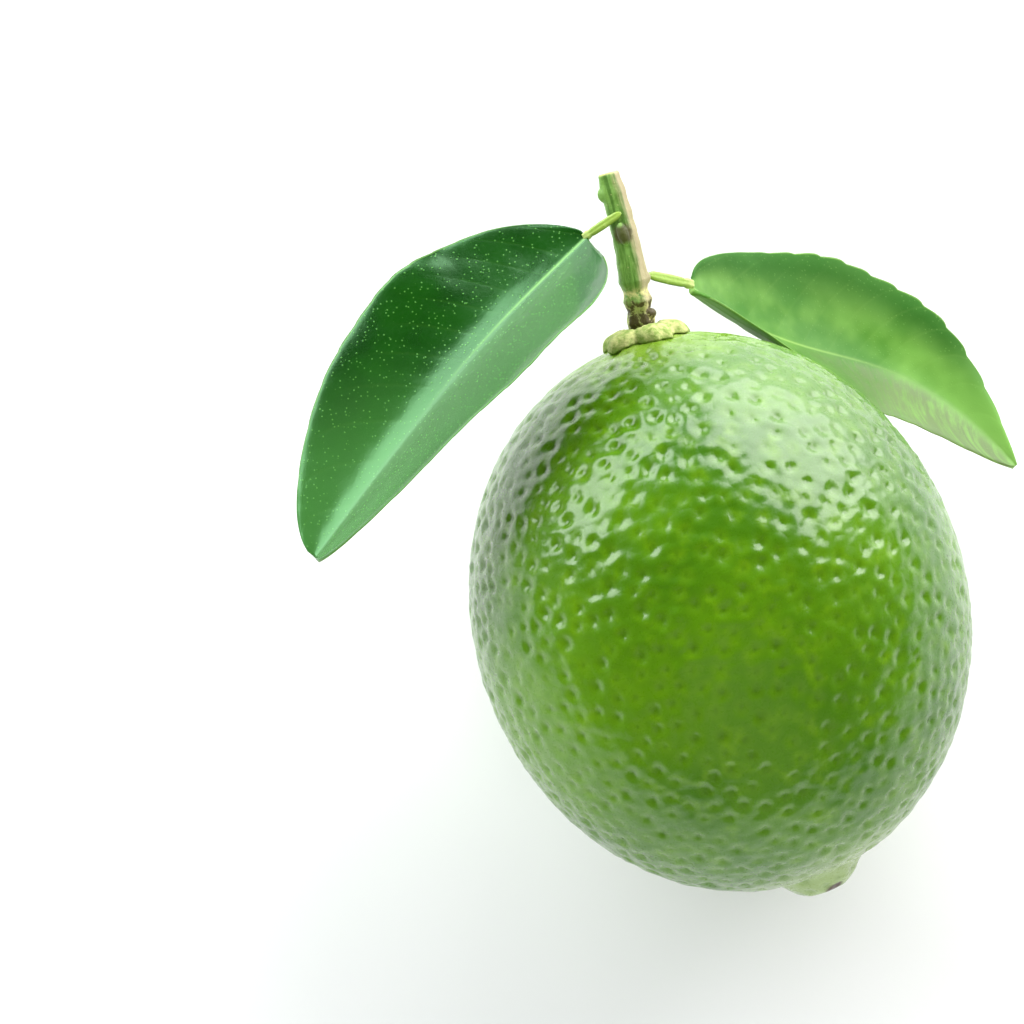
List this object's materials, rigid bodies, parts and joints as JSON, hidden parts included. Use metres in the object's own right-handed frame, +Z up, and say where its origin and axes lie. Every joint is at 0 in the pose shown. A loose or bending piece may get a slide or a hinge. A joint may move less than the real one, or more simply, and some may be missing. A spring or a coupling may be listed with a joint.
{
  "type": "lime",
  "caption": "Whole green lime lying on its side, with pitted skin, nipple, star-shaped calyx, woody stalk and folded citrus leaves.",
  "frame": {"origin": "middle of the small flat spot on the underside of the fruit, where it rests", "axes": "+Z up from the surface it rests on; +Y level, towards the stalk end; the fruit's own axis rises 15 degrees towards the stalk"},
  "size_m": [0.08, 0.0796, 0.054],
  "materials": {
    "lime_skin": "glossy waxy rind with fine oil pits",
    "calyx": "dry pale green-cream, matt",
    "twig_bark": "green bark with tan ridges, matt",
    "petiole": "smooth yellow-green, satin",
    "leaf_dark": "waxy dark green with pale oil dots",
    "leaf_light": "satin mid green with fine veins"
  },
  "bodies": {
    "root": {"fruit": "lime_skin", "calyx": "calyx", "twig": "twig_bark", "petiole_left": "petiole", "petiole_right": "petiole", "leaf_left": "leaf_dark", "leaf_right": "leaf_light"}
  },
  "joints": []
}
